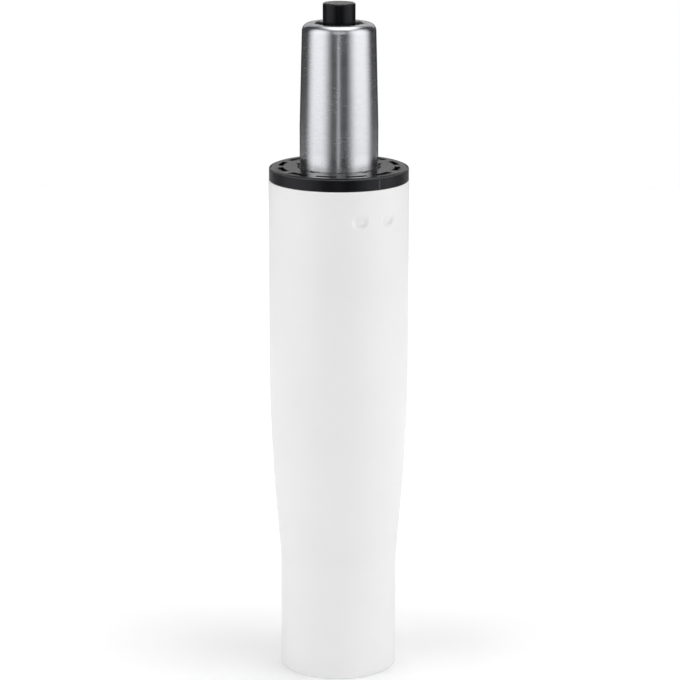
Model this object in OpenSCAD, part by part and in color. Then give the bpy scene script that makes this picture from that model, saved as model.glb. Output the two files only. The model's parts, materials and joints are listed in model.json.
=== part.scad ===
// Gas lift cylinder of a swivel chair: a swaged outer tube with a moulded guide bush, and in it a gas
// spring that turns on a ball thrust bearing, rises on its rod and is released by a button on its top.
// Millimetres, +Z up, origin at the centre of the outer tube's lower rim. Drawn in its lowest position.

/* [Outer tube] */
// Outside diameter of the tube's upper stretch
tube_d = 50; // [48:0.5:56]
// Wall of the tube
tube_wall = 2; // [1.5:0.1:2.5]
// Length of the tube, from its lower rim to the collar
tube_len = 181; // [172:1:240]
// Diameter of the straight spigot that goes into the chair's base
spigot_d = 42; // [40:0.5:46]
// Height of the corner between the spigot and the swaged cone
spigot_len = 41; // [32:1:50]
// Height of the swaged cone, from corner to corner
swage_len = 47; // [40:1:58]
// Length of the bend on each side of the cone's upper corner
shoulder_bend = 28; // [10:1:30]
// Length of the bend on each side of the cone's lower corner
neck_bend = 4; // [1:0.5:8]
// Chamfer on the outside of both rims
tube_chamfer = 0.4; // [0.2:0.1:0.8]

/* [Locking dents] */
// Width of a dent, whose lower end is a half circle
dent_w = 5; // [3:0.5:6]
// Height of a dent
dent_h = 5; // [4:0.5:7]
// Depth of a dent at its lower end
dent_depth = 1.2; // [0.6:0.1:1.4]
// Amount by which a dent is wider inside the tube than outside
dent_spread = 0.25; // [0.1:0.05:0.5]
// Drop of a dent's upper edge below the tube's upper rim
dent_drop = 8; // [5:0.5:14]
// Angle between the two dents of a pair
dent_pitch = 26; // [20:1:40]
// Direction of the middle of the first pair, counted from +X
dent_dir = -59.5; // [-180:0.5:180]
// Pairs of dents round the tube
dent_pairs = 2; // [1:1:3]

/* [Guide bush] */
// Step from the tube's outside in to the collar's
collar_inset = 0.2; // [0.1:0.1:1]
// Thickness of the collar
collar_t = 4.7; // [3:0.1:8]
// Width of the bevel round the collar's top
collar_bevel_w = 1; // [0.5:0.1:1.5]
// Drop of that bevel towards the collar's side
collar_bevel_h = 0.4; // [0.2:0.1:1]
// Chamfer at the upper end of the bore
bore_chamfer = 0.9; // [0.3:0.1:1.5]
// Length of the guiding sleeve below the collar
sleeve_len = 78; // [60:1:90]
// Wall of the guiding sleeve
sleeve_wall = 3.2; // [2.5:0.1:4]
// Step by which the sleeve is thicker inside the seat
sleeve_step = 0.6; // [0.3:0.1:1]
// Length of the seat that fills the tube's bore
seat_len = 40; // [30:1:48]
// Wall of the seat's outer ring
seat_wall = 1.2; // [1:0.1:1.8]
// Slots round the collar, each over a pocket in the seat
slot_count = 12; // [8:1:14]
// Step from the pocket's outer wall in to the slot
slot_inset = 0.15; // [0.1:0.05:0.6]
// Width of a slot
slot_w = 1.8; // [1:0.1:2]
// Angle that a slot covers
slot_arc = 20; // [14:1:22]
// Direction of the first slot, counted from +X
slot_dir = 17.5; // [0:0.5:30]
// Grease flutes along the bore
flute_count = 5; // [3:1:8]
// Radius of a flute
flute_r = 1.6; // [0.8:0.1:1.8]
// Step from the bore's wall out to the middle of a flute
flute_out = 0.4; // [0:0.1:0.6]
// Direction of the first flute, counted from +X
flute_dir = 18; // [0:1:72]

/* [Gas spring tube] */
// Diameter of the steel tube where it runs in the bush
spindle_d = 27.8; // [27:0.1:29]
// Wall of the steel tube
spindle_wall = 1.5; // [1.2:0.1:1.8]
// Length that stands out of the collar in the lowest position
exposed_len = 50.9; // [45:0.1:70]
// Length from the start of the taper to the rolled rim
taper_len = 36; // [28:1:44]
// Angle of the taper to the axis, in degrees
taper_angle = 1.438; // [1:0.001:2]
// Radius of the rolled upper edge
rim_round = 2.8; // [2.5:0.1:4]
// Diameter of the hole in the rolled rim
rim_hole_d = 17; // [14:0.5:17.5]
// Thickness of the lip rolled in at the lower end
lip_t = 1.8; // [1.2:0.1:3]
// Diameter of the hole in the lower lip
lip_hole_d = 18; // [14:0.5:20]

/* [Stroke and rod] */
// Length of the stop sleeve under the piston: a longer one gives a shorter stroke
stop_len = 16.25; // [5:0.05:40]
// Diameter of the piston rod
rod_d = 10; // [9:0.5:11]
// Diameter of the rod's lower stub
stub_d = 8; // [7:0.5:8.5]
// Depth of the groove for the clip
clip_groove = 0.8; // [0.5:0.1:1]
// Length of the stub below the clip
stub_end = 2; // [1:0.5:3]
// Diameter of the rod's neck that holds the piston
neck_d = 7; // [6:0.5:8]
// Diameter of the peened head over the piston
peen_d = 9.2; // [8.5:0.1:11]
// Height of the peened head
peen_h = 1.8; // [1:0.1:3]

/* [Base plate and bearing] */
// Depth of the base plate above the lower rim
plate_recess = 8; // [7:0.5:12]
// Thickness of the base plate
plate_t = 3; // [2:0.5:5]
// Outside diameter of the bearing races
race_d = 24; // [22:0.5:28]
// Thickness of a race
race_t = 1.5; // [1:0.1:3]
// Diameter of a ball
ball_d = 4; // [3:0.1:4.2]
// Balls in the cage
ball_count = 10; // [6:1:10]
// Thickness of the cage
cage_t = 2; // [1:0.1:2.6]
// Thickness of the washer under the rod's shoulder
support_t = 2; // [1.5:0.1:4]
// Height of the rubber buffer
buffer_h = 10; // [6:0.5:16]
// Diameter of the rubber buffer
buffer_d = 22; // [20:0.5:26]
// Thickness of the washer under the base plate
retainer_t = 1.2; // [0.8:0.1:2]
// Diameter of the washer under the base plate
retainer_d = 18; // [15:0.5:22]
// Thickness of the clip
clip_t = 1; // [0.8:0.1:1.4]
// Diameter of the clip
clip_d = 14; // [12:0.5:18]
// Width of the clip's mouth
clip_mouth = 5; // [4:0.1:5.5]

/* [Piston and cylinder] */
// Bore of the inner cylinder
cylinder_bore = 19.2; // [18:0.1:20]
// Wall of the inner cylinder
cylinder_wall = 1; // [0.8:0.1:1.2]
// Length of the piston
piston_len = 14; // [10:1:20]
// Width of the piston ring
piston_ring_w = 3; // [2:0.1:4]
// Radial thickness of the piston ring
piston_ring_t = 1.7; // [1.2:0.1:2]
// Thickness of the washer on the piston
piston_washer_t = 1.5; // [1:0.1:3]
// Diameter of the washer on the piston
piston_washer_d = 14; // [12:0.5:17]
// Wall of the stop sleeve on the rod
stop_wall = 2; // [1.5:0.1:3]

/* [Lower seals] */
// Thickness of the washer on the lower lip
gland_washer_t = 2; // [1.5:0.1:3]
// Length of the rod guide
guide_len = 10; // [8:1:14]
// Length of the rod seal
seal_len = 6; // [4:0.5:8]
// Thickness of the foot under the inner cylinder
foot_t = 2.5; // [2:0.1:4]
// Height of the foot's spigot in the inner cylinder
foot_spigot = 3; // [2:0.5:5]
// Width of the gas notches in the foot
notch_w = 3; // [2:0.5:4]
// Depth of the gas notches in the foot
notch_t = 1.2; // [0.6:0.1:1.6]
// Cord diameter of the rings that seal in the steel tube
oring_d = 2; // [1.6:0.1:2.4]

/* [Valve and button] */
// Length of the valve body's sealing flange
flange_len = 12; // [10:1:16]
// Length of the step under the flange, where the gas crosses
step_len = 5; // [4:0.5:8]
// Length of the valve body's spigot in the inner cylinder
valve_spigot = 5; // [3:0.5:8]
// Length of the valve body's neck above the flange
neck_len = 15; // [12:1:18]
// Diameter of the valve body's neck
valve_neck_d = 15; // [14:0.5:16.5]
// Diameter of the cross holes
cross_d = 1.6; // [1:0.1:2.4]
// Diameter of the valve pin
pin_d = 6; // [5:0.5:7]
// Diameter of the pin's waist
waist_d = 4.4; // [3.5:0.1:4.8]
// Diameter of the pin's head
pin_head_d = 9; // [8:0.5:12]
// Thickness of the pin's head
pin_head_t = 2.5; // [1.5:0.1:4]
// Thickness of the seal on the pin's head
head_seal_t = 1.5; // [1:0.1:2.5]
// Cord diameter of the ring that seals the pin
pin_seal_d = 2.4; // [2:0.1:2.8]
// Length of the retainer over the pin's seal
retainer_len = 3; // [2:0.1:4]
// Diameter of the button
button_d = 11.5; // [9:0.1:13]
// Height of the button above the rolled rim
button_h = 7; // [5:0.1:10]
// Length of the button inside the rim
button_skirt = 12; // [9:0.5:13]
// Solid top of the button over the pin
button_cap = 5; // [3:0.5:8]
// Round on the button's upper edge
button_round = 0.6; // [0.2:0.1:1]
// Travel of the button
button_travel = 4; // [2:0.5:5]

/* [Clearances] */
// Radial clearance of a running fit
run_gap = 0.06; // [0.02:0.01:0.1]
// Radial clearance of a piece seated in a bore
seat_gap = 0.04; // [0.02:0.01:0.1]
// Clearance between flat faces that turn on each other
face_gap = 0.05; // [0.03:0.01:0.1]
// Clearance at the end of a travel
stop_gap = 0.3; // [0.2:0.1:1]
// Clearance round a piece that must not rub
free_gap = 0.5; // [0.4:0.1:1]

/* [Hidden] */
$fn = 96;
over = 1;
tube_r = tube_d / 2;
bore_r = tube_r - tube_wall;
spigot_r = spigot_d / 2;
foot_bore_r = spigot_r - tube_wall;
swage_top = spigot_len + swage_len;
swage_slope = (tube_r - spigot_r) / swage_len;
dent_tilt = asin(dent_depth / dent_h);
dent_z = tube_len - dent_drop;
collar_r = tube_r - collar_inset;
collar_top = tube_len + collar_t;
spindle_r = spindle_d / 2;
spindle_bore_r = spindle_r - spindle_wall;
seated_r = spindle_bore_r - seat_gap;
sleeve_bore_r = spindle_r + run_gap;
sleeve_r = sleeve_bore_r + sleeve_wall;
seat_r = bore_r - seat_gap;
rod_r = rod_d / 2;
stub_r = stub_d / 2;
race_r = race_d / 2;
ball_r = ball_d / 2;
cage_in_r = stub_r + free_gap;
cage_out_r = race_r - free_gap;
ball_circle_r = (cage_in_r + cage_out_r) / 2;
pin_r = pin_d / 2;
pin_bore_r = pin_r + run_gap;
cylinder_r = cylinder_bore / 2;
cylinder_out_r = cylinder_r + cylinder_wall;
spigot_in_r = cylinder_r - seat_gap;

// Heights from the base plate up to the gas spring's lower end
plate_top = plate_recess + plate_t;
balls_z = plate_top + race_t + face_gap + ball_r;
upper_race_z = balls_z + ball_r + face_gap;
support_z = upper_race_z + race_t;
shoulder_z = support_z + support_t;
spindle_z = shoulder_z + buffer_h + stop_gap;
retainer_z = plate_recess - face_gap - retainer_t;
clip_z = retainer_z - clip_t;
stub_z = clip_z - stub_end;

// Heights of the stack in the gas spring's lower end
gland_z = spindle_z + lip_t;
guide_z = gland_z + gland_washer_t;
seal_z = guide_z + guide_len;
foot_z = seal_z + seal_len;
cylinder_z = foot_z + foot_t;
foot_top = cylinder_z + foot_spigot;

// Heights down from the gas spring's rolled rim
spindle_top = collar_top + exposed_len;
taper_z = spindle_top - taper_len;
roll_z = spindle_top - rim_round;
roll_r = spindle_r - (roll_z - taper_z) * tan(taper_angle) - rim_round;
flange_top = taper_z - free_gap;
flange_z = flange_top - flange_len;
cylinder_top = flange_z - step_len;
valve_z = cylinder_top - valve_spigot;
oring_heights = [flange_z + flange_len / 4, flange_top - flange_len / 4];
neck_top = flange_top + neck_len;
head_z = valve_z - face_gap - head_seal_t - pin_head_t;
button_z = spindle_top - button_skirt;
button_top = spindle_top + button_h;
pin_top = button_top - button_cap;

// Heights of the piston, which ends just under the pressed valve pin
peen_top = head_z - button_travel - free_gap;
washer_z = peen_top - peen_h - piston_washer_t;
piston_z = washer_z - piston_len;

// Travel of the gas spring, from its lowest position to where the stop sleeve meets the foot
stroke = piston_z - stop_len - foot_top - stop_gap;
echo(stroke = stroke);

white = "white";
black = [0.10, 0.10, 0.11];
steel = [0.72, 0.72, 0.74];
zinc = [0.62, 0.64, 0.66];
brass = [0.76, 0.62, 0.32];
rubber = [0.15, 0.15, 0.15];
plastic = [0.85, 0.82, 0.72];

// Points of a soft bend from a to b, drawn towards the corner between them
function bend(a, corner, b, steps = 12) = [
    for (i = [0:steps])
        let (t = i / steps)
            pow(1 - t, 2) * a + 2 * t * (1 - t) * corner + t * t * b
];

function reversed(list) = [for (i = [len(list) - 1:-1:0]) list[i]];

// Radius of the steel tube's outside at a height on its taper
function taper_r(z) = spindle_r - max(0, z - taper_z) * tan(taper_angle);

// Swaged stretch of the tube's wall from the spigot up, moved in by inset
function swage_line(inset) = concat(
    bend(
        [spigot_r - inset, spigot_len - neck_bend],
        [spigot_r - inset, spigot_len],
        [spigot_r - inset + swage_slope * neck_bend, spigot_len + neck_bend]
    ),
    bend(
        [tube_r - inset - swage_slope * shoulder_bend, swage_top - shoulder_bend],
        [tube_r - inset, swage_top],
        [tube_r - inset, swage_top + shoulder_bend]
    )
);

// Ring of rectangular section
module ring(r_in, r_out, z, h) {
    rotate_extrude()
        translate([r_in, z])
            square([r_out - r_in, h]);
}

// Ring of round section, such as a seal
module cord_ring(r_mid, cord_d, z) {
    rotate_extrude()
        translate([r_mid, z])
            circle(d = cord_d);
}

// Section that rounds off the upper outer corner of what it is cut from
module corner_cut(r, z, round_r) {
    translate([r - round_r, z - round_r])
        difference() {
            square(round_r + over);
            circle(r = round_r);
        }
}

// Places its children at equal angles round the axis
module around(count, first = 0) {
    for (i = [0:count - 1])
        rotate([0, 0, first + i * 360 / count])
            children();
}

// Places its children at each locking dent, with +X pointing out of the tube
module at_dents() {
    around(dent_pairs, dent_dir)
        for (side = [-1, 1])
            rotate([0, 0, side * dent_pitch / 2])
                children();
}

// Slanted block with the outline of a dent, between two depths along its own X
module dent_block(x_from, x_to, grow = 0) {
    translate([tube_r, 0, dent_z])
        rotate([0, dent_tilt, 0])
            translate([x_from, 0, 0])
                rotate([90, 0, 90])
                    linear_extrude(x_to - x_from) {
                        translate([0, dent_w / 2 - dent_h])
                            circle(r = dent_w / 2 + grow);
                        translate([-dent_w / 2 - grow, dent_w / 2 - dent_h])
                            square([dent_w + 2 * grow, dent_h - dent_w / 2]);
                    }
}

// Curved slot or pocket between two radii and two heights, centred on +X
module arc_pocket(r_in, r_out, z_from, z_to) {
    rotate([0, 0, -slot_arc / 2])
        rotate_extrude(angle = slot_arc)
            translate([r_in, z_from])
                square([r_out - r_in, z_to - z_from]);
}

module outer_tube() {
    color(white)
        difference() {
            union() {
                rotate_extrude()
                    polygon(concat(
                        [[spigot_r - tube_chamfer, 0], [spigot_r, tube_chamfer]],
                        swage_line(0),
                        [[tube_r, tube_len - tube_chamfer], [tube_r - tube_chamfer, tube_len]],
                        [[bore_r, tube_len]],
                        reversed(swage_line(tube_wall)),
                        [[foot_bore_r, 0]]
                    ));
                at_dents()
                    dent_block(-tube_wall, -dent_spread, dent_spread);
            }
            at_dents()
                dent_block(0, dent_depth + over);
        }
}

// Collar, guiding sleeve and the pocketed seat that the dents lock
module guide_bush() {
    pocket_r = seat_r - seat_wall;
    slot_r = pocket_r - slot_inset;
    color(black)
        difference() {
            union() {
                rotate_extrude()
                    polygon([
                        [sleeve_bore_r, tube_len], [collar_r, tube_len],
                        [collar_r, collar_top - collar_bevel_h], [collar_r - collar_bevel_w, collar_top],
                        [sleeve_bore_r + bore_chamfer, collar_top], [sleeve_bore_r, collar_top - bore_chamfer]
                    ]);
                ring(sleeve_bore_r, sleeve_r, tube_len - sleeve_len, sleeve_len);
                ring(sleeve_bore_r, seat_r, tube_len - seat_len, seat_len);
            }
            around(slot_count, slot_dir) {
                arc_pocket(sleeve_r + sleeve_step, pocket_r, tube_len - seat_len - over, tube_len);
                arc_pocket(slot_r - slot_w, slot_r, tube_len - over, collar_top + over);
            }
            around(flute_count, flute_dir)
                translate([sleeve_bore_r + flute_out, 0, tube_len - sleeve_len - over])
                    cylinder(r = flute_r, h = sleeve_len + collar_t + 2 * over);
            at_dents()
                dent_block(-tube_wall - seat_wall - free_gap, 0, dent_spread + free_gap);
        }
}

module base_plate() {
    color(steel)
        ring(stub_r + run_gap, foot_bore_r - seat_gap, plate_recess, plate_t);
}

module lower_race() {
    color(steel)
        ring(stub_r + free_gap, race_r, plate_top, race_t);
}

module ball_cage() {
    color(brass)
        difference() {
            ring(cage_in_r, cage_out_r, balls_z - cage_t / 2, cage_t);
            around(ball_count)
                translate([ball_circle_r, 0, balls_z - cage_t])
                    cylinder(r = ball_r + run_gap, h = 2 * cage_t);
        }
}

module bearing_balls() {
    color(steel)
        around(ball_count)
            translate([ball_circle_r, 0, balls_z])
                sphere(r = ball_r);
}

module upper_race() {
    color(steel)
        ring(stub_r + seat_gap, race_r, upper_race_z, race_t);
}

module support_washer() {
    color(zinc)
        ring(stub_r + seat_gap, race_r, support_z, support_t);
}

// Buffer with a waist, so that it gives before it is flat
module rubber_buffer() {
    waist = buffer_h / 8;
    color(rubber)
        rotate_extrude()
            polygon(concat(
                [[rod_r + seat_gap, shoulder_z]],
                bend(
                    [buffer_d / 2, shoulder_z],
                    [buffer_d / 2 - 2 * waist, shoulder_z + buffer_h / 2],
                    [buffer_d / 2, shoulder_z + buffer_h]
                ),
                [[rod_r + seat_gap, shoulder_z + buffer_h]]
            ));
}

module piston_rod() {
    groove_r = stub_r - clip_groove;
    chamfer = clip_groove / 2;
    color(steel)
        rotate_extrude()
            polygon([
                [0, stub_z], [stub_r - chamfer, stub_z], [stub_r, stub_z + chamfer],
                [stub_r, clip_z - seat_gap], [groove_r, clip_z - seat_gap],
                [groove_r, retainer_z], [stub_r, retainer_z],
                [stub_r, shoulder_z], [rod_r, shoulder_z],
                [rod_r, piston_z], [neck_d / 2, piston_z],
                [neck_d / 2, washer_z + piston_washer_t], [peen_d / 2, washer_z + piston_washer_t],
                [peen_d / 2 - peen_h / 2, peen_top], [0, peen_top]
            ]);
}

module retaining_washer() {
    color(zinc)
        ring(stub_r + seat_gap, retainer_d / 2, retainer_z, retainer_t);
}

// Open clip, pushed on from the side
module retaining_clip() {
    groove_r = stub_r - clip_groove + seat_gap;
    color(steel)
        difference() {
            ring(groove_r, clip_d / 2, clip_z, clip_t);
            translate([0, -clip_mouth / 2, clip_z - over])
                cube([clip_d, clip_mouth, clip_t + 2 * over]);
        }
}

// Sleeve under the piston, which meets the foot at the top of the stroke
module stop_sleeve() {
    color(zinc)
        ring(rod_r + seat_gap, rod_r + stop_wall, piston_z - stop_len, stop_len);
}

module piston() {
    piston_r = cylinder_r - 2 * run_gap;
    ring_z = piston_z + (piston_len - piston_ring_w) / 2;
    color(plastic)
        difference() {
            ring(neck_d / 2 + seat_gap, piston_r, piston_z, piston_len);
            ring(
                piston_r - piston_ring_t - seat_gap, piston_r + over,
                ring_z - seat_gap, piston_ring_w + 2 * seat_gap
            );
        }
}

module piston_ring() {
    ring_r = cylinder_r - run_gap;
    color(rubber)
        ring(ring_r - piston_ring_t, ring_r, piston_z + (piston_len - piston_ring_w) / 2, piston_ring_w);
}

module piston_washer() {
    color(zinc)
        ring(neck_d / 2 + seat_gap, piston_washer_d / 2, washer_z, piston_washer_t);
}

// Section of the rolled upper edge: a quarter of a circular band, and the flat that runs in from it to the hole
module rolled_edge() {
    flat_w = roll_r - rim_hole_d / 2;
    translate([roll_r, roll_z]) {
        intersection() {
            difference() {
                circle(r = rim_round);
                circle(r = rim_round - spindle_wall);
            }
            square(rim_round);
        }
        translate([-flat_w, rim_round - spindle_wall])
            square([flat_w, spindle_wall]);
    }
}

// Steel tube, straight in the bush and tapered above it, rolled in at both ends
module spindle_tube() {
    roll_out_r = roll_r + rim_round;
    color(steel)
        rotate_extrude() {
            difference() {
                polygon([
                    [lip_hole_d / 2, spindle_z], [spindle_r, spindle_z],
                    [spindle_r, taper_z], [roll_out_r, roll_z],
                    [roll_out_r - spindle_wall, roll_z], [spindle_bore_r, taper_z],
                    [spindle_bore_r, gland_z], [lip_hole_d / 2, gland_z]
                ]);
                translate([0, 2 * spindle_z])
                    mirror([0, 1])
                        corner_cut(spindle_r, spindle_z, spindle_wall);
            }
            rolled_edge();
        }
}

module gland_washer() {
    color(zinc)
        ring(rod_r + free_gap, seated_r, gland_z, gland_washer_t);
}

// Groove for a sealing ring, cut in from the steel tube's bore
module oring_groove(z) {
    ring(spindle_bore_r - oring_d, spindle_bore_r + over, z - oring_d / 2, oring_d);
}

// Ring that lies in such a groove and all but fills it
module oring(z) {
    cord_ring(spindle_bore_r - oring_d / 2, oring_d - 2 * seat_gap, z);
}

module rod_guide() {
    color(brass)
        difference() {
            ring(rod_r + run_gap, seated_r, guide_z, guide_len);
            oring_groove(guide_z + guide_len / 2);
        }
}

module gland_oring() {
    color(rubber)
        oring(guide_z + guide_len / 2);
}

// Lip seal with a groove towards the gas
module rod_seal() {
    lip_r = rod_r + run_gap;
    lip_mid = (lip_r + seated_r) / 2;
    groove_half = (seated_r - lip_r) / 4;
    color(rubber)
        rotate_extrude()
            polygon([
                [lip_r, seal_z], [seated_r, seal_z], [seated_r, foot_z],
                [lip_mid + groove_half, foot_z], [lip_mid, seal_z + seal_len / 2],
                [lip_mid - groove_half, foot_z], [lip_r, foot_z]
            ]);
}

// Foot that centres the inner cylinder, notched so that gas passes under the cylinder's wall
module cylinder_foot() {
    color(zinc)
        difference() {
            union() {
                ring(rod_r + free_gap, seated_r, foot_z, foot_t);
                ring(rod_r + free_gap, spigot_in_r, cylinder_z, foot_spigot);
            }
            around(4)
                translate([rod_r + stop_wall + free_gap, -notch_w / 2, cylinder_z - notch_t])
                    cube([spindle_r, notch_w, notch_t + foot_spigot + over]);
        }
}

module inner_cylinder() {
    color(steel)
        ring(cylinder_r, cylinder_out_r, cylinder_z, cylinder_top - cylinder_z);
}

// Plug with the valve's bore: spigot, crossed step, sealing flange and neck with the seal's pocket
module valve_body() {
    step_r = cylinder_out_r;
    pocket_r = pin_r + pin_seal_d;
    pocket_z = neck_top - retainer_len - pin_seal_d;
    color(zinc)
        difference() {
            union() {
                ring(pin_bore_r, spigot_in_r, valve_z, valve_spigot);
                ring(pin_bore_r, step_r, cylinder_top, step_len);
                ring(pin_bore_r, seated_r, flange_z, flange_len);
                ring(pin_bore_r, valve_neck_d / 2, flange_top, neck_len);
            }
            for (z = oring_heights)
                oring_groove(z);
            ring(0, pocket_r, pocket_z, neck_len);
            around(4)
                translate([0, 0, cylinder_top + step_len / 2])
                    rotate([0, 90, 0])
                        cylinder(d = cross_d, h = spindle_r);
        }
}

module valve_orings() {
    color(rubber)
        for (z = oring_heights)
            oring(z);
}

module pin_seal() {
    color(rubber)
        cord_ring(pin_r + pin_seal_d / 2, pin_seal_d - 2 * run_gap, neck_top - retainer_len - pin_seal_d / 2);
}

module seal_retainer() {
    color(brass)
        ring(pin_bore_r, pin_r + pin_seal_d - seat_gap, neck_top - retainer_len, retainer_len);
}

// Sleeve between the valve body's flange and the rolled rim
module valve_spacer() {
    spacer_in_r = max(rim_hole_d, valve_neck_d) / 2 + seat_gap;
    inset = spindle_wall + seat_gap;
    color(zinc)
        rotate_extrude()
            polygon([
                [spacer_in_r, flange_top], [seated_r, flange_top], [seated_r, taper_z],
                [taper_r(roll_z) - inset, roll_z],
                [roll_r, spindle_top - spindle_wall], [spacer_in_r, spindle_top - spindle_wall]
            ]);
}

// Pin with a head that closes the valve from below and a waist where the gas passes
module valve_pin() {
    head_top = head_z + pin_head_t;
    waist_top = cylinder_top + step_len / 2 + cross_d;
    color(steel)
        rotate_extrude()
            polygon([
                [0, head_z], [pin_head_d / 2, head_z], [pin_head_d / 2, head_top],
                [waist_d / 2, head_top], [waist_d / 2, waist_top],
                [pin_r, waist_top + (pin_d - waist_d) / 2], [pin_r, pin_top], [0, pin_top]
            ]);
}

module pin_head_seal() {
    color(rubber)
        ring(waist_d / 2 + seat_gap, pin_head_d / 2, head_z + pin_head_t, head_seal_t);
}

module release_button() {
    color(black)
        rotate_extrude()
            difference() {
                translate([0, button_z])
                    square([button_d / 2, button_top - button_z]);
                translate([0, button_z - over])
                    square([pin_r + seat_gap, pin_top - button_z + over]);
                corner_cut(button_d / 2, button_top, button_round);
            }
}

outer_tube();
guide_bush();
base_plate();
lower_race();
ball_cage();
bearing_balls();
upper_race();
support_washer();
rubber_buffer();
piston_rod();
retaining_washer();
retaining_clip();
stop_sleeve();
piston();
piston_ring();
piston_washer();
spindle_tube();
gland_washer();
rod_guide();
gland_oring();
rod_seal();
cylinder_foot();
inner_cylinder();
valve_body();
valve_orings();
pin_seal();
seal_retainer();
valve_spacer();
valve_pin();
pin_head_seal();
release_button();
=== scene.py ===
"""Looks of a chair gas lift: white tube, slotted black collar, ground steel gas spring, black button."""

import json
import math

import bmesh
import bpy
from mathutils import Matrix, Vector


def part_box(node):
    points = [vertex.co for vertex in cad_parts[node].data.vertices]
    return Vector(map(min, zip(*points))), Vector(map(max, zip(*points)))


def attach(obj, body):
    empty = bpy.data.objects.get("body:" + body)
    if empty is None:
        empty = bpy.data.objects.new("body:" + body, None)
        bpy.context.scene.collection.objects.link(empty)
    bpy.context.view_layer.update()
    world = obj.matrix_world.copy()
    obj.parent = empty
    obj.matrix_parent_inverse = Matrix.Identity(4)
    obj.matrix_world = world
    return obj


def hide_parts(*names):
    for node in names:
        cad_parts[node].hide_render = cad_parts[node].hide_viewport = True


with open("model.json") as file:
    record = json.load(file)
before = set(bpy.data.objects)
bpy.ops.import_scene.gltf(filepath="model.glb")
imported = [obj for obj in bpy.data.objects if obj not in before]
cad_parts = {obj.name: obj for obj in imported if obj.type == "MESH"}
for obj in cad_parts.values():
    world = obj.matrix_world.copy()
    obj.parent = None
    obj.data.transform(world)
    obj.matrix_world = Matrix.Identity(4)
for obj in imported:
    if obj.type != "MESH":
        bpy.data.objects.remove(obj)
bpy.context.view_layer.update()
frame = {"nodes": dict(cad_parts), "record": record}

MM = 0.001

# Sizes that the frame gives
tube_low, tube_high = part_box("outer_tube")
bush_low, bush_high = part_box("guide_bush")
spindle_low, spindle_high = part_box("spindle_tube")
button_low, button_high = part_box("release_button")
pin_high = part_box("valve_pin")[1]

# Outer tube: wall, rounded rims and the swaged stretch between spigot and full diameter
TUBE_R = tube_high.x
TUBE_TOP = tube_high.z
TUBE_WALL = 2 * MM
TUBE_RIM = 0.4 * MM
SPIGOT_R = 21 * MM
SPIGOT_LEN = 41 * MM
SWAGE_LEN = 47 * MM
NECK_BEND = 4 * MM
SHOULDER_BEND = 28 * MM

# Locking dents, as wide as they are high, pressed in under the collar
DENT_SIZE = 5 * MM
DENT_DEPTH = 1.2 * MM
DENT_EDGE = 0.7 * MM
DENT_ROW = 0.25 * MM
DENT_REACH = DENT_SIZE + 4 * DENT_EDGE
DENT_TOP = TUBE_TOP - 8 * MM
DENT_PAIRS = (-59.5, 120.5)
DENT_SIDES = (-13, 13)
DENTS = [math.radians(pair + side) for pair in DENT_PAIRS for side in DENT_SIDES]

# Guide bush: collar, sleeve and seat, with slots in the collar and grease flutes along the bore
COLLAR_R = bush_high.x
COLLAR_TOP = bush_high.z
COLLAR_BEVEL_W = 1 * MM
COLLAR_BEVEL_H = 0.4 * MM
COLLAR_EDGE = 0.45 * MM
BORE_CHAMFER = 0.9 * MM
BUSH_EDGE = 0.25 * MM
BORE_R = 13.96 * MM
SLEEVE_R = 17.16 * MM
SEAT_R = 22.96 * MM
SEAT_LOW = TUBE_TOP - 40 * MM
SLOT_COUNT = 12
SLOT_ARC = math.radians(20)
SLOT_DIR = math.radians(17.5)
SLOT_OUT_R = 21.61 * MM
SLOT_IN_R = SLOT_OUT_R - 1.8 * MM
SLOT_DEPTH = 4 * MM
SLOT_ROUND = 0.2 * MM
SLOT_WALL = 0.005 * MM
FLUTE_COUNT = 5
FLUTE_R = 1.6 * MM
FLUTE_MID_R = BORE_R + 0.4 * MM
FLUTE_DIR = math.radians(18)
MOULD_LINE_DIR = math.radians(-55.5)
MOULD_LINE_W = 0.25 * MM
MOULD_LINE_H = 0.12 * MM

# Steel tube of the gas spring: straight in the bush, tapered above it, rolled in at the top
SPINDLE_R = spindle_high.x
SPINDLE_TOP = spindle_high.z
SPINDLE_WALL = 1.5 * MM
TAPER_LEN = 36 * MM
TAPER_SLOPE = math.tan(math.radians(1.438))
RIM_ROUND = 2.8 * MM
RIM_HOLE_R = 8.5 * MM
RIM_EDGE = 0.4 * MM
LIP_T = 1.8 * MM
LIP_HOLE_R = 9 * MM

# Release button, pushed over the valve pin
BUTTON_R = button_high.x
BUTTON_ROUND = 0.6 * MM
BUTTON_EDGE = 0.3 * MM
BUTTON_FLAT_R = BUTTON_R - 1.5 * BUTTON_ROUND
PIN_CLEARANCE = 0.04 * MM
PIN_HOLE_R = pin_high.x + PIN_CLEARANCE

# Fineness of the turned meshes
COLUMNS = 480
COLLAR_COLUMNS = 720
ARC_STEPS = 10
BEND_STEPS = 24
ON_AXIS = 1e-6

# Edges: the angle from which they stay sharp, and the name under which their wear and painted highlight
# are kept
SHARP = math.radians(40)
WORN_AND_HIGHLIT_EDGE = "worn_and_highlit_edge"

# Span that most of a noise lies in
NOISE_LOW = 0.3
NOISE_HIGH = 0.7


def bend(start, corner, end):
    """Points of a soft bend from start to end, drawn towards the corner between them."""
    points = []
    for step in range(BEND_STEPS + 1):
        t = step / BEND_STEPS
        point = (1 - t) ** 2 * Vector(start) + 2 * t * (1 - t) * Vector(corner) + t * t * Vector(end)
        points.append(tuple(point))
    return points


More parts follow.
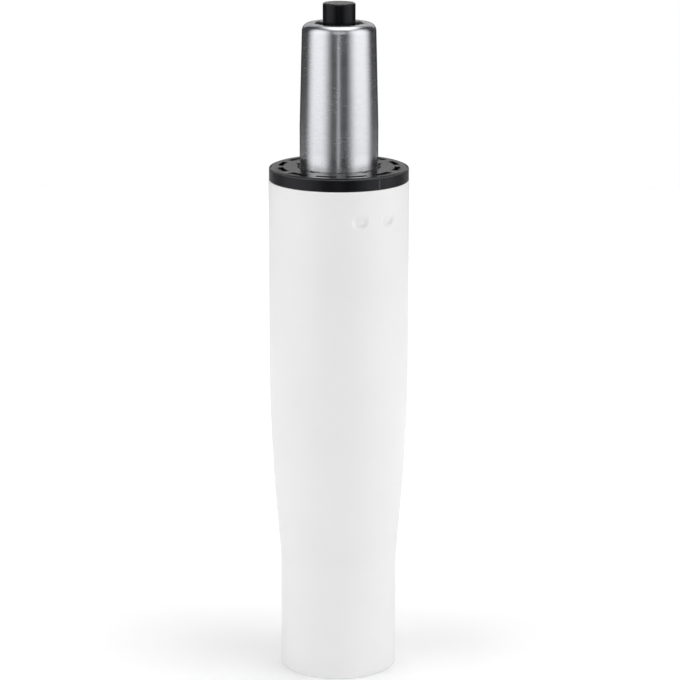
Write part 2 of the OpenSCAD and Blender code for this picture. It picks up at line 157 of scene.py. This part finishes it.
def rounded(corners):
    """Closed outline of (radius, height, edge) points through (radius, height, round) corners.

    The round may be left out; edge is 1 in the middle of a round and 0 on the straights.
    """
    outline = []
    for i, (r, z, *edge) in enumerate(corners):
        here = Vector((r, z))
        if not edge:
            outline.append((r, z, 0))
            continue
        before = (Vector(corners[i - 1][:2]) - here).normalized()
        after = (Vector(corners[(i + 1) % len(corners)][:2]) - here).normalized()
        half = before.angle(after) / 2
        start = before * (edge[0] / math.tan(half))
        end = after * (edge[0] / math.tan(half))
        centre = (before + after).normalized() * (edge[0] / math.sin(half))
        first, last = (start - centre).normalized(), (end - centre).normalized()
        for step in range(ARC_STEPS + 1):
            share = step / ARC_STEPS
            point = here + centre + first.slerp(last, share) * edge[0]
            outline.append((*point, math.sin(math.pi * share)))
    return outline


def turned(name, outline, columns=COLUMNS, relief=None):
    """Object made by turning an outline round the axis; relief shifts single points of it and marks them
    for wear and painted highlight.
    """
    made = bmesh.new()
    wear_and_highlight = made.verts.layers.float.new(WORN_AND_HIGHLIT_EDGE)
    rings = []
    for r, z, edge in outline:
        if r < ON_AXIS:
            rings.append([made.verts.new((0, 0, z))])
            continue
        ring = []
        for column in range(columns):
            turn = math.tau * column / columns
            radius, height, worn_and_highlit = relief(r, z, turn) if relief else (r, z, 0)
            point = made.verts.new((radius * math.cos(turn), radius * math.sin(turn), height))
            point[wear_and_highlight] = max(edge, worn_and_highlit)
            ring.append(point)
        rings.append(ring)
    for ring, following in zip(rings, rings[1:] + rings[:1]):
        for column in range(columns):
            beside = (column + 1) % columns
            corners = dict.fromkeys((
                ring[column % len(ring)], ring[beside % len(ring)],
                following[beside % len(following)], following[column % len(following)],
            ))
            if len(corners) > 2:
                made.faces.new(corners).smooth = True
    bmesh.ops.recalc_face_normals(made, faces=made.faces)
    mesh = bpy.data.meshes.new(name)
    made.to_mesh(mesh)
    made.free()
    mesh.set_sharp_from_angle(angle=SHARP)
    piece = bpy.data.objects.new(name, mesh)
    bpy.context.scene.collection.objects.link(piece)
    piece.modifiers.new("even_faces", "WEIGHTED_NORMAL").keep_sharp = True
    return piece


def offset_from(turn, direction):
    """Angle from a direction to a turn, between minus and plus half a turn."""
    return (turn - direction + math.pi) % math.tau - math.pi


# Outer tube
def swage(inset):
    """Line of the tube's wall from the spigot to the full diameter, moved in by inset."""
    slope = (TUBE_R - SPIGOT_R) / SWAGE_LEN
    low_r, high_r = SPIGOT_R - inset, TUBE_R - inset
    top = SPIGOT_LEN + SWAGE_LEN
    neck = bend(
        (low_r, SPIGOT_LEN - NECK_BEND), (low_r, SPIGOT_LEN),
        (low_r + slope * NECK_BEND, SPIGOT_LEN + NECK_BEND),
    )
    shoulder = bend(
        (high_r - slope * SHOULDER_BEND, top - SHOULDER_BEND), (high_r, top),
        (high_r, top + SHOULDER_BEND),
    )
    return neck + shoulder


def smooth(value):
    """Soft step from 0 to 1."""
    value = min(max(value, 0), 1)
    return value * value * (3 - 2 * value)


def dent_sink(z, turn, direction):
    """Depth of a dent at a point of the tube: slanted, deepest at its half-round lower end."""
    across = TUBE_R * offset_from(turn, direction)
    down = DENT_TOP - z
    past_middle = max(down - DENT_SIZE / 2, 0)
    outside = math.hypot(across, past_middle) - DENT_SIZE / 2
    return DENT_DEPTH * smooth(down / DENT_SIZE) * smooth(0.5 - outside / (2 * DENT_EDGE))


def press_dents(r, z, turn):
    """Presses the dents into the tube's outside."""
    if r < TUBE_R - TUBE_WALL / 2 or not DENT_TOP - DENT_REACH < z < DENT_TOP:
        return r, z, 0
    return r - max(dent_sink(z, turn, direction) for direction in DENTS), z, 0


def make_outer_tube():
    dent_rows = [
        (TUBE_R, DENT_TOP - DENT_REACH + row * DENT_ROW)
        for row in range(int(DENT_REACH / DENT_ROW) + 1)
    ]
    outline = rounded([
        (SPIGOT_R - TUBE_WALL, tube_low.z, TUBE_RIM), (SPIGOT_R, tube_low.z, TUBE_RIM),
        *swage(0), *dent_rows,
        (TUBE_R, TUBE_TOP, TUBE_RIM), (TUBE_R - TUBE_WALL, TUBE_TOP, TUBE_RIM),
        *reversed(swage(TUBE_WALL)),
    ])
    return turned("white_tube", outline, relief=press_dents)


# Guide bush
def slot_sink(r, turn):
    """Depth of the collar's slots at a point of its top, with a small round along their edges."""
    pitch = math.tau / SLOT_COUNT
    along = abs((turn - SLOT_DIR + pitch / 2) % pitch - pitch / 2)
    outside = max(r - SLOT_OUT_R, SLOT_IN_R - r, r * (along - SLOT_ARC / 2))
    if outside <= 0:
        return SLOT_DEPTH
    inner = max(SLOT_ROUND - outside, 0)
    return SLOT_ROUND - math.sqrt(SLOT_ROUND ** 2 - inner ** 2)


def shape_bush(r, z, turn):
    """Sinks the slots, opens the flutes and raises the fine line that the mould leaves, with a painted
    highlight along it.
    """
    if r < BORE_R + BORE_CHAMFER + BUSH_EDGE:
        pitch = math.tau / FLUTE_COUNT
        across = FLUTE_MID_R * ((turn - FLUTE_DIR + pitch / 2) % pitch - pitch / 2)
        if abs(across) < FLUTE_R:
            r = max(r, FLUTE_MID_R + math.sqrt(FLUTE_R ** 2 - across ** 2))
        return r, z, 0
    if r < SLOT_OUT_R + 2 * SLOT_ROUND and z > COLLAR_TOP - SLOT_WALL:
        return r, z - slot_sink(r, turn), 0
    if r > COLLAR_R - COLLAR_EDGE and z > TUBE_TOP:
        # The mould line also carries a painted highlight: it is marked for the lighter edge colour
        line = math.exp(-(COLLAR_R * offset_from(turn, MOULD_LINE_DIR) / MOULD_LINE_W) ** 2)
        return r + MOULD_LINE_H * line, z, line
    return r, z, 0


def make_guide_bush():
    edge_rows = [SLOT_ROUND, SLOT_ROUND / 2, SLOT_ROUND / 6, SLOT_WALL, -SLOT_WALL]
    slot_rows = [SLOT_OUT_R + row for row in edge_rows]
    slot_rows += [SLOT_IN_R - row for row in reversed(edge_rows)]
    outline = rounded([
        (BORE_R, bush_low.z, BUSH_EDGE), (SLEEVE_R, bush_low.z, BUSH_EDGE),
        (SLEEVE_R, SEAT_LOW, BUSH_EDGE), (SEAT_R, SEAT_LOW, BUSH_EDGE),
        (SEAT_R, TUBE_TOP), (COLLAR_R, TUBE_TOP, BUSH_EDGE),
        (COLLAR_R, COLLAR_TOP - COLLAR_BEVEL_H, COLLAR_EDGE),
        (COLLAR_R - COLLAR_BEVEL_W, COLLAR_TOP, BUSH_EDGE),
        *[(r, COLLAR_TOP) for r in slot_rows], (BORE_R + BORE_CHAMFER + FLUTE_R, COLLAR_TOP),
        (BORE_R + BORE_CHAMFER, COLLAR_TOP, BUSH_EDGE), (BORE_R, COLLAR_TOP - BORE_CHAMFER, BUSH_EDGE),
    ])
    return turned("black_bush", outline, COLLAR_COLUMNS, shape_bush)


# Steel tube of the gas spring
def make_spindle_tube():
    taper_z = SPINDLE_TOP - TAPER_LEN
    rim_r = SPINDLE_R - TAPER_LEN * TAPER_SLOPE
    bore_r = SPINDLE_R - SPINDLE_WALL
    outline = rounded([
        (LIP_HOLE_R, spindle_low.z, RIM_EDGE), (SPINDLE_R, spindle_low.z, SPINDLE_WALL),
        (SPINDLE_R, taper_z), (rim_r, SPINDLE_TOP, RIM_ROUND),
        (RIM_HOLE_R, SPINDLE_TOP, RIM_EDGE), (RIM_HOLE_R, SPINDLE_TOP - SPINDLE_WALL, RIM_EDGE),
        (rim_r - SPINDLE_WALL, SPINDLE_TOP - SPINDLE_WALL, RIM_ROUND - SPINDLE_WALL),
        (bore_r, taper_z), (bore_r, spindle_low.z + LIP_T), (LIP_HOLE_R, spindle_low.z + LIP_T),
    ])
    return turned("steel_spindle", outline)


# Release button
def make_release_button():
    outline = rounded([
        (0, button_high.z), (BUTTON_FLAT_R, button_high.z),
        (BUTTON_R, button_high.z, BUTTON_ROUND), (BUTTON_R, button_low.z, BUTTON_EDGE),
        (PIN_HOLE_R, button_low.z, BUTTON_EDGE), (PIN_HOLE_R, pin_high.z), (0, pin_high.z),
    ])
    return turned("black_button", outline)


# Shader nodes
def add(tree, kind, feeds=None, **settings):
    """New node with its settings, and with sockets or values on its inputs."""
    made = tree.nodes.new("ShaderNode" + kind)
    for name, value in settings.items():
        setattr(made, name, value)
    for name, value in (feeds or {}).items():
        if isinstance(value, bpy.types.NodeSocket):
            tree.links.new(value, made.inputs[name])
        else:
            made.inputs[name].default_value = value
    return made


def combine(tree, operation, first, second, clamp=False):
    """Number that one operation makes from two sockets or values."""
    feeds = {0: first, 1: second}
    return add(tree, "Math", feeds, operation=operation, use_clamp=clamp).outputs["Value"]


def new_effect(name, inputs, output):
    """Empty node group with named float inputs and one float output."""
    tree = bpy.data.node_groups.new(name, "ShaderNodeTree")
    for socket, value in inputs.items():
        made = tree.interface.new_socket(socket, in_out="INPUT", socket_type="NodeSocketFloat")
        made.default_value = value
    tree.interface.new_socket(output, in_out="OUTPUT", socket_type="NodeSocketFloat")
    given = tree.nodes.new("NodeGroupInput").outputs
    result = tree.nodes.new("NodeGroupOutput").inputs[output]
    return tree, given, result


def surface_point(tree):
    return add(tree, "TexCoord").outputs["Object"]


def surface_noise(tree, scale, detail):
    feeds = {"Vector": surface_point(tree), "Scale": scale, "Detail": detail}
    return add(tree, "TexNoise", feeds).outputs["Fac"]


def spread(tree, value, low, high, from_low=NOISE_LOW, from_high=NOISE_HIGH):
    """Maps a value to the span from low to high, by default from the middle of a noise."""
    feeds = {"Value": value, "From Min": from_low, "From Max": from_high, "To Min": low, "To Max": high}
    return add(tree, "MapRange", feeds).outputs["Result"]


def make_clouds():
    """Slow change over a surface: handling, uneven coating, uneven polish."""
    tree, given, result = new_effect("clouds", {"Scale": 60, "Low": 0, "High": 1}, "Value")
    noise = surface_noise(tree, given["Scale"], detail=4)
    tree.links.new(spread(tree, noise, given["Low"], given["High"]), result)
    return tree


def make_fine_grain():
    """Small even bumps: orange peel of a coating, the grain of a mould, the skin of rubber."""
    tree, given, result = new_effect("fine_grain", {"Scale": 1500}, "Height")
    tree.links.new(surface_noise(tree, given["Scale"], detail=2), result)
    return tree


def make_tool_marks():
    """Fine lines round the axis, left by grinding or turning, which fade in and out along their way."""
    tree, given, result = new_effect("tool_marks", {"Lines": 4000, "Breaks": 3}, "Height")
    point = add(tree, "SeparateXYZ", {"Vector": surface_point(tree)}).outputs
    flat = add(tree, "CombineXYZ", {"X": point["X"], "Y": point["Y"]}).outputs["Vector"]
    radius = add(tree, "VectorMath", {0: flat}, operation="LENGTH").outputs["Value"]
    heading = add(tree, "VectorMath", {0: flat}, operation="NORMALIZE").outputs["Vector"]
    breaks = {0: heading, "Scale": given["Breaks"]}
    around = add(tree, "VectorMath", breaks, operation="SCALE").outputs["Vector"]
    rise = combine(tree, "MULTIPLY", point["Z"], given["Lines"])
    climb = add(tree, "CombineXYZ", {"Z": rise}).outputs["Vector"]
    place = add(tree, "VectorMath", {0: around, 1: climb}, operation="ADD").outputs["Vector"]
    reach = combine(tree, "MULTIPLY", radius, given["Lines"])
    feeds = {"Vector": place, "W": reach, "Scale": 1, "Detail": 3}
    noise = add(tree, "TexNoise", feeds, noise_dimensions="4D").outputs["Fac"]
    tree.links.new(spread(tree, noise, 0, 1), result)
    return tree


def make_edge_wear_and_highlight():
    """Mask of the rounded edges and the mould line, where handling wears a surface and where a highlight
    is painted, broken up by a noise.
    """
    tree, given, result = new_effect("edge_wear_and_highlight", {"Amount": 1, "Scale": 900}, "Mask")
    # The mask read here lightens edges: partly wear, partly painted highlight
    edges = add(tree, "Attribute", attribute_name=WORN_AND_HIGHLIT_EDGE).outputs["Fac"]
    noise = surface_noise(tree, given["Scale"], detail=3)
    broken = combine(tree, "MULTIPLY", edges, noise)
    tree.links.new(combine(tree, "MULTIPLY", broken, given["Amount"], clamp=True), result)
    return tree


CLOUDS = make_clouds()
FINE_GRAIN = make_fine_grain()
TOOL_MARKS = make_tool_marks()
EDGE_WEAR_AND_HIGHLIGHT = make_edge_wear_and_highlight()


class Finish:
    """Material in the making: its node tree, its shader and the effects placed in it."""

    def __init__(self, name, **constants):
        self.material = bpy.data.materials.new(name)
        self.material.use_nodes = True
        self.tree = self.material.node_tree
        self.shader = self.tree.nodes["Principled BSDF"]
        for socket, value in constants.items():
            self.shader.inputs[socket.replace("_", " ")].default_value = value

    def effect(self, group, **values):
        return add(self.tree, "Group", values, node_tree=group).outputs[0]

    def between(self, mask, dark, light):
        """Colour from dark to light by a mask; dark and light are colours or sockets that give one."""
        feeds = {"Fac": mask}
        for socket, value in (("Color1", dark), ("Color2", light)):
            feeds[socket] = value if isinstance(value, bpy.types.NodeSocket) else (*value, 1)
        return add(self.tree, "MixRGB", feeds).outputs["Color"]

    def feed(self, socket, value):
        self.tree.links.new(value, self.shader.inputs[socket])

    def roughen(self, scale, low, high):
        """Clouded roughness from low to high."""
        self.feed("Roughness", self.effect(CLOUDS, Scale=scale, Low=low, High=high))

    def bump(self, height, depth, strength=0.5):
        feeds = {"Height": height, "Distance": depth, "Strength": strength}
        self.feed("Normal", add(self.tree, "Bump", feeds).outputs["Normal"])


# White paint
PAINT_DARK = (0.775, 0.777, 0.777)
PAINT_LIGHT = (0.805, 0.805, 0.805)
# Painted highlight: near-white colour laid on the paint's rounded rims and dent lips
PAINT_EDGE_HIGHLIGHT = (0.95, 0.95, 0.95)
PAINT_ROUGH = (0.36, 0.46)
PAINT_PEEL = 0.03 * MM

# Black moulding, with its roughness on faces that look sideways and up, and the slopes between these
MOULDING_BLACK = (0.0022, 0.0022, 0.003)
# Lighter grey on rounded edges: wear, and a painted highlight on the collar's bevel and mould line
MOULDING_WORN_AND_HIGHLIT = (0.055, 0.055, 0.059)
MOULDING_TINT = (0.94, 0.96, 1, 1)
MOULDING_SIDE_ROUGH = (0.27, 0.33)
MOULDING_TOP_ROUGH = (0.15, 0.21)
MOULDING_SLOPES = (0.3, 0.9)
MOULDING_GRAIN = 0.02 * MM

# Ground steel, with painted light from just above the collar downwards, against the shade the collar
# throws into its reflections
STEEL_DARK = (0.43, 0.436, 0.457)
STEEL_LIGHT = (0.46, 0.466, 0.487)
STEEL_ROUGH = (0.225, 0.29)
STEEL_SCRATCH = 0.0006 * MM
# Painted light: a lighter steel colour from just above the collar downwards
STEEL_PAINTED_LIGHT = (0.62, 0.625, 0.64)
PAINTED_LIGHT_START = COLLAR_TOP + 6.5 * MM
PAINTED_LIGHT_FULL = COLLAR_TOP - 0.5 * MM


def white_paint():
    finish = Finish("white_paint", Specular_IOR_Level=0.4)
    colour = finish.between(finish.effect(CLOUDS, Scale=28), PAINT_DARK, PAINT_LIGHT)
    # Painted highlight: the rounded rims and dent lips are lightened towards near white
    edges = finish.effect(EDGE_WEAR_AND_HIGHLIGHT, Amount=1)
    finish.feed("Base Color", finish.between(edges, colour, PAINT_EDGE_HIGHLIGHT))
    finish.roughen(90, *PAINT_ROUGH)
    finish.bump(finish.effect(FINE_GRAIN, Scale=1100), PAINT_PEEL)
    return finish.material


def black_moulding(name, gloss, wear_and_highlight):
    """Black plastic with a fine grain, smoother on the faces that look up, lighter along its rounded
    edges and mould line from wear and painted highlight.
    """
    finish = Finish(name, Specular_IOR_Level=gloss, Specular_Tint=MOULDING_TINT)
    # Wear and painted highlight: the rounded edges and the mould line turn lighter grey
    worn_and_highlit = finish.effect(EDGE_WEAR_AND_HIGHLIGHT, Amount=wear_and_highlight)
    finish.feed("Base Color", finish.between(worn_and_highlit, MOULDING_BLACK, MOULDING_WORN_AND_HIGHLIT))
    normal = add(finish.tree, "TexCoord").outputs["Normal"]
    upward = add(finish.tree, "SeparateXYZ", {"Vector": normal}).outputs["Z"]
    rough = [
        spread(finish.tree, upward, side, top, *MOULDING_SLOPES)
        for side, top in zip(MOULDING_SIDE_ROUGH, MOULDING_TOP_ROUGH)
    ]
    finish.roughen(700, *rough)
    finish.bump(finish.effect(FINE_GRAIN, Scale=3200), MOULDING_GRAIN)
    return finish.material


def bright_steel():
    """Steel ground round the axis, with painted light from just above the collar downwards."""
    finish = Finish("bright_steel", Metallic=1, Anisotropic=0.6, Anisotropic_Rotation=0.25)
    tangent = add(finish.tree, "Tangent", direction_type="RADIAL", axis="Z")
    finish.feed("Tangent", tangent.outputs["Tangent"])
    streaks = finish.effect(TOOL_MARKS, Lines=2600, Breaks=5)
    scratches = finish.effect(TOOL_MARKS, Lines=2400, Breaks=12)
    ground = finish.between(streaks, STEEL_DARK, STEEL_LIGHT)
    height = add(finish.tree, "SeparateXYZ", {"Vector": surface_point(finish.tree)}).outputs["Z"]
    # Painted light: the steel turns lighter from just above the collar downwards, against the collar's
    # shade in the reflections
    painted_light = spread(finish.tree, height, 0, 1, PAINTED_LIGHT_START, PAINTED_LIGHT_FULL)
    finish.feed("Base Color", finish.between(painted_light, ground, STEEL_PAINTED_LIGHT))
    handled = finish.effect(CLOUDS, Scale=130)
    polish = combine(finish.tree, "ADD", streaks, handled)
    finish.feed("Roughness", spread(finish.tree, polish, *STEEL_ROUGH, 0, 2))
    finish.bump(scratches, STEEL_SCRATCH)
    return finish.material


def machined(name, dark, light, rough, lines, depth):
    """Metal piece from the inside of the lift: turned or ground, with clouded colour and tool marks."""
    finish = Finish(name, Metallic=1)
    finish.feed("Base Color", finish.between(finish.effect(CLOUDS, Scale=180), dark, light))
    marks = finish.effect(TOOL_MARKS, Lines=lines)
    finish.feed("Roughness", spread(finish.tree, marks, *rough, 0, 1))
    finish.bump(marks, depth)
    return finish.material


def moulded(name, dark, light, rough, grain, depth):
    """Rubber or plastic piece from the inside of the lift, with clouded colour and a fine grain."""
    finish = Finish(name)
    finish.feed("Base Color", finish.between(finish.effect(CLOUDS, Scale=120), dark, light))
    finish.roughen(300, *rough)
    finish.bump(finish.effect(FINE_GRAIN, Scale=grain), depth, strength=0.6)
    return finish.material


FINISHES = {
    "white_paint": white_paint(),
    "black_moulding": black_moulding("black_moulding", gloss=0.2, wear_and_highlight=2),
    "black_button": black_moulding("black_button", gloss=0.15, wear_and_highlight=0.6),
    "bright_steel": bright_steel(),
}

# Pieces inside the lift: darkest and lightest colour, roughness, fineness and depth of the marks or grain
INNER_METALS = {
    "bearing_steel": ((0.5, 0.5, 0.51), (0.6, 0.6, 0.61), (0.1, 0.2), 6000, 0.004 * MM),
    "plated_steel": ((0.46, 0.48, 0.5), (0.58, 0.59, 0.6), (0.28, 0.42), 3000, 0.01 * MM),
    "light_alloy": ((0.55, 0.56, 0.57), (0.66, 0.67, 0.68), (0.25, 0.4), 2600, 0.015 * MM),
    "turned_brass": ((0.6, 0.42, 0.16), (0.72, 0.54, 0.25), (0.18, 0.34), 3000, 0.01 * MM),
}
INNER_MOULDINGS = {
    "black_rubber": ((0.018, 0.018, 0.018), (0.03, 0.03, 0.03), (0.5, 0.7), 2600, 0.04 * MM),
    "natural_plastic": ((0.66, 0.62, 0.5), (0.74, 0.7, 0.57), (0.4, 0.52), 2000, 0.03 * MM),
}
for name, look in INNER_METALS.items():
    FINISHES[name] = machined(name, *look)
for name, look in INNER_MOULDINGS.items():
    FINISHES[name] = moulded(name, *look)


# Pieces in place of the CAD nodes that show
SHOWN = [
    (make_outer_tube(), "outer_tube", "base", "white_paint", "white_paint"),
    (make_guide_bush(), "guide_bush", "base", "black_moulding", "black_moulding"),
    (make_spindle_tube(), "spindle_tube", "gas_spring", "bright_steel", "bright_steel"),
    (make_release_button(), "release_button", "button", "black_moulding", "black_button"),
]
for piece, node, body, slot, finish in SHOWN:
    piece.data.materials.append(FINISHES[finish])
    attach(piece, body)
    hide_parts(node)

for subpart in frame["record"]["subparts"]:
    mesh = frame["nodes"][subpart["node"]].data
    mesh.materials.clear()
    mesh.materials.append(FINISHES[subpart["material_slot"]])


# Studio floor: round and white, with a glow of its own that grows between two distances from the lift
FLOOR_R = 0.7
FLOOR_MIDDLE = Vector((0, 0.25, 0))
FLOOR_STEP = 3
FLOOR_GREY = 0.91
FLOOR_ROUGH = 0.9
FLOOR_GLOW = (0.0, 0.36)
FLOOR_FADE = (0.05, 0.3)

# Screens and a ceiling round it: angles of a screen's sides, its lower and upper edge, its grey
SCREEN_R = 1.3
SCREEN_STEPS = 20
UNDER_FLOOR = -0.7
CEILING = 1.9
CEILING_GREY = 0.35
SCREENS = {
    "front_left": (-20, -5, UNDER_FLOOR, 0.45, 0.06),
    "front_right": (2, 22, UNDER_FLOOR, 0.45, 0.06),
    "side_left": (-150, -20, UNDER_FLOOR, CEILING, 0.09),
    "side_right": (22, 150, UNDER_FLOOR, CEILING, 0.09),
    "back_low": (150, 210, UNDER_FLOOR, 0.38, 0.06),
    "back_high": (150, 210, 0.38, CEILING, 0.75),
}

# Soft lamps: angle and power of those at the sides; angle, distance and height of the one above
LAMP_MIDDLE = Vector((0, 0, 0.55))
SIDE_LAMPS = {"softbox_left": (-66, 25.5), "softbox_right": (68, 26)}
SIDE_LAMP_R = 0.85
SIDE_LAMP_SIZE = (1.85, 2.2)
SIDE_LAMP_FADE = (0.42, 0.37)
TOP_LAMP_PLACE = (160, 0.3, 1.4)
TOP_LAMP_POWER = 27
TOP_LAMP_SIZE = (1.5, 1.9)
TOP_LAMP_FADE = (0.35, 0.35)

# Camera: its angles in degrees, its shift as a share of the picture's width
CAMERA_PLACE = (0, -0.9101, 0.3545)
CAMERA_DOWN = 14.324
CAMERA_ROLL = 0.07
CAMERA_LENS = 138.0
CAMERA_SENSOR = 36
CAMERA_SHIFT = 0.00185
CAMERA_NEAR = 0.01


def seen_directly(tree):
    """1 for what the camera sees, also by way of a mirror or glass, and 0 for scattered light."""
    path = add(tree, "LightPath").outputs
    direct = combine(tree, "ADD", path["Is Camera Ray"], path["Is Glossy Ray"])
    return combine(tree, "ADD", direct, path["Is Transmission Ray"], clamp=True)


def new_stage(name, vertices, faces, finish):
    mesh = bpy.data.meshes.new(name)
    mesh.from_pydata(vertices, [], faces)
    mesh.materials.append(finish.material)
    made = bpy.data.objects.new(name, mesh)
    bpy.context.scene.collection.objects.link(made)
    return made


def around_lift(degrees, radius, height=0.0):
    """Point at an angle from the camera's side, to the right where it is positive."""
    turn = math.radians(degrees)
    return Vector((radius * math.sin(turn), -radius * math.cos(turn), height))


def matt(name, grey, rough=1):
    """Finish of a floor or screen, without gloss."""
    return Finish(name, Base_Color=(grey, grey, grey, 1), Roughness=rough, Specular_IOR_Level=0)


def make_floor():
    finish = matt("studio_floor", FLOOR_GREY, FLOOR_ROUGH)
    tree = finish.tree
    distance = add(tree, "VectorMath", {0: surface_point(tree)}, operation="LENGTH").outputs["Value"]
    glow = spread(tree, distance, *FLOOR_GLOW, *FLOOR_FADE)
    finish.shader.inputs["Emission Color"].default_value = (1, 1, 1, 1)
    finish.feed("Emission Strength", combine(tree, "MULTIPLY", seen_directly(tree), glow))
    rim = [FLOOR_MIDDLE + around_lift(degrees, FLOOR_R) for degrees in range(0, 360, FLOOR_STEP)]
    new_stage("floor", rim, [range(len(rim))], finish)


def make_screens():
    for name, (first, last, low, high, grey) in SCREENS.items():
        vertices = []
        for step in range(SCREEN_STEPS + 1):
            degrees = first + (last - first) * step / SCREEN_STEPS
            vertices += [around_lift(degrees, SCREEN_R, low), around_lift(degrees, SCREEN_R, high)]
        faces = [(2 * i, 2 * i + 1, 2 * i + 3, 2 * i + 2) for i in range(SCREEN_STEPS)]
        new_stage("screen_" + name, vertices, faces, matt(name, grey)).visible_camera = False
    corners = [around_lift(degrees, 2 * SCREEN_R, CEILING) for degrees in (45, 135, 225, 315)]
    new_stage("ceiling", corners, [range(4)], matt("ceiling", CEILING_GREY)).visible_camera = False


def inside_edges(tree, place, fade):
    """Softly from 0 at both edges of a lamp to 1 from a share of its width inwards."""
    inward = combine(tree, "PINGPONG", place, 0.5)
    feeds = {"Value": inward, "From Min": 0, "From Max": fade, "To Min": 0, "To Max": 1}
    return add(tree, "MapRange", feeds, interpolation_type="SMOOTHSTEP").outputs["Result"]


def make_lamp(name, place, target, size, power, fade):
    """Soft lamp that fades towards its edges, as a cloth-fronted box does."""
    lamp = bpy.data.lights.new(name, "AREA")
    lamp.shape = "RECTANGLE"
    lamp.size = size[0]
    lamp.size_y = size[1]
    lamp.energy = power
    lamp.use_nodes = True
    tree = lamp.node_tree
    on_front = add(tree, "NewGeometry").outputs["Parametric"]
    front = add(tree, "SeparateXYZ", {"Vector": on_front}).outputs
    sides = inside_edges(tree, front["X"], fade[0])
    ends = inside_edges(tree, front["Y"], fade[1])
    tree.links.new(combine(tree, "MULTIPLY", sides, ends), tree.nodes["Emission"].inputs["Strength"])
    made = bpy.data.objects.new(name, lamp)
    made.location = place
    made.rotation_euler = (target - place).to_track_quat("-Z", "Y").to_euler()
    made.visible_camera = False
    bpy.context.scene.collection.objects.link(made)


def make_lamps():
    for name, (degrees, power) in SIDE_LAMPS.items():
        place = around_lift(degrees, SIDE_LAMP_R, LAMP_MIDDLE.z)
        make_lamp(name, place, LAMP_MIDDLE, SIDE_LAMP_SIZE, power, SIDE_LAMP_FADE)
    above = around_lift(*TOP_LAMP_PLACE)
    straight_down = above - Vector((0, 0, 1))
    make_lamp("softbox_top", above, straight_down, TOP_LAMP_SIZE, TOP_LAMP_POWER, TOP_LAMP_FADE)


def make_world():
    world = bpy.data.worlds.new("studio")
    world.use_nodes = True
    background = world.node_tree.nodes["Background"]
    background.inputs["Color"].default_value = (1, 1, 1, 1)
    background.inputs["Strength"].default_value = 1
    bpy.context.scene.world = world


def make_camera():
    data = bpy.data.cameras.new("camera")
    data.lens = CAMERA_LENS
    data.sensor_width = CAMERA_SENSOR
    data.shift_x = CAMERA_SHIFT
    data.clip_start = CAMERA_NEAR
    camera = bpy.data.objects.new("camera", data)
    camera.location = CAMERA_PLACE
    camera.rotation_euler = (math.radians(90 - CAMERA_DOWN), 0, 0)
    camera.rotation_euler.rotate_axis("Z", math.radians(CAMERA_ROLL))
    bpy.context.scene.collection.objects.link(camera)
    bpy.context.scene.camera = camera


make_floor()
make_screens()
make_lamps()
make_world()
make_camera()
bpy.context.scene.view_settings.view_transform = "Standard"
